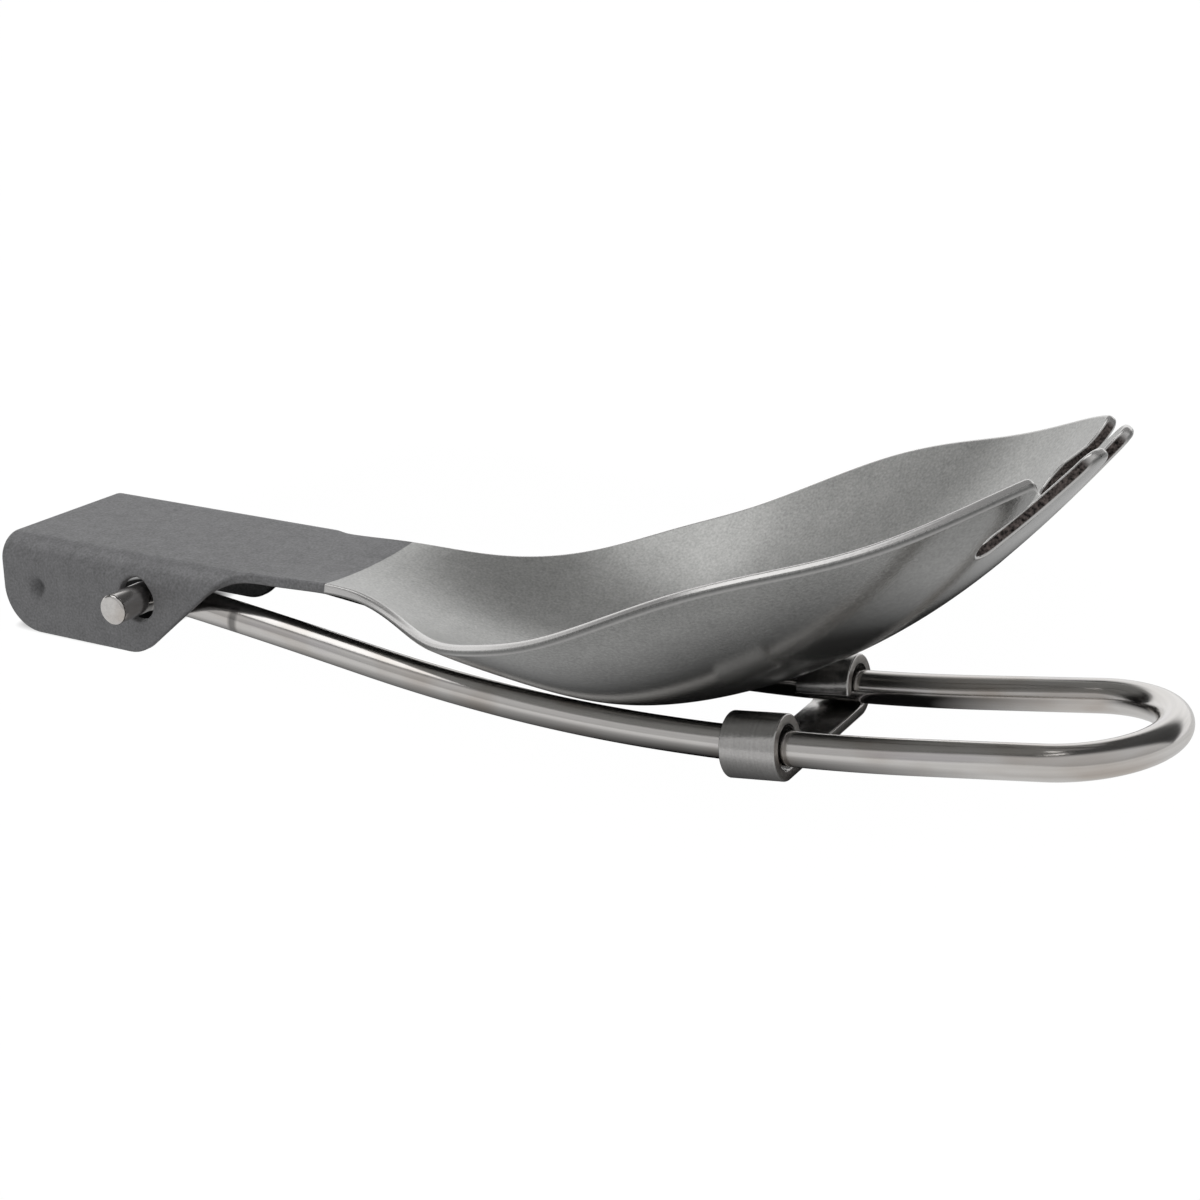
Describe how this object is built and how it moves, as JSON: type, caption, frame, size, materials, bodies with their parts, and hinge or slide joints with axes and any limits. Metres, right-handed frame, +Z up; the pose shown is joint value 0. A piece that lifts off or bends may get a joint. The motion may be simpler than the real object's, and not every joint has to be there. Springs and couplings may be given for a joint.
{
  "type": "folding spork",
  "caption": "Folding camping spork: a pressed metal bowl with tines on a channel-shaped neck, a hinged U-shaped wire handle and a strip that slides along its legs.",
  "frame": {"origin": "on the ground under the middle of the folded spork", "axes": "+X along the spork from the channel's free end to the handle's loop, +Y across, +Z up out of the bowl"},
  "size_m": [0.1005, 0.0402, 0.0271],
  "materials": {
    "satin_titanium": "titanium sheet, fine bead-blasted satin in the bowl, a darker matt grey on the neck and channel, bright rubbed edges",
    "polished_wire": "drawn titanium wire, polished, with a faint brown tint",
    "brushed_strip": "titanium strip, brushed and worn bright on its edges"
  },
  "bodies": {
    "head": {"spork_head": "satin_titanium"},
    "handle": {"wire_handle": "polished_wire"},
    "slider": {"lock_slider": "brushed_strip"}
  },
  "joints": [
    {"name": "handle_fold", "type": "hinge", "parent": "head", "child": "handle", "pos_m": [-0.03536, 0, 0.00501], "axis": [0, 1, 0], "range_deg": [0, 178]},
    {"name": "lock_slide", "type": "slide", "parent": "handle", "child": "slider", "axis": [0.9912, 0, 0.1323], "range_m": [-0.002, 0.017]}
  ]
}
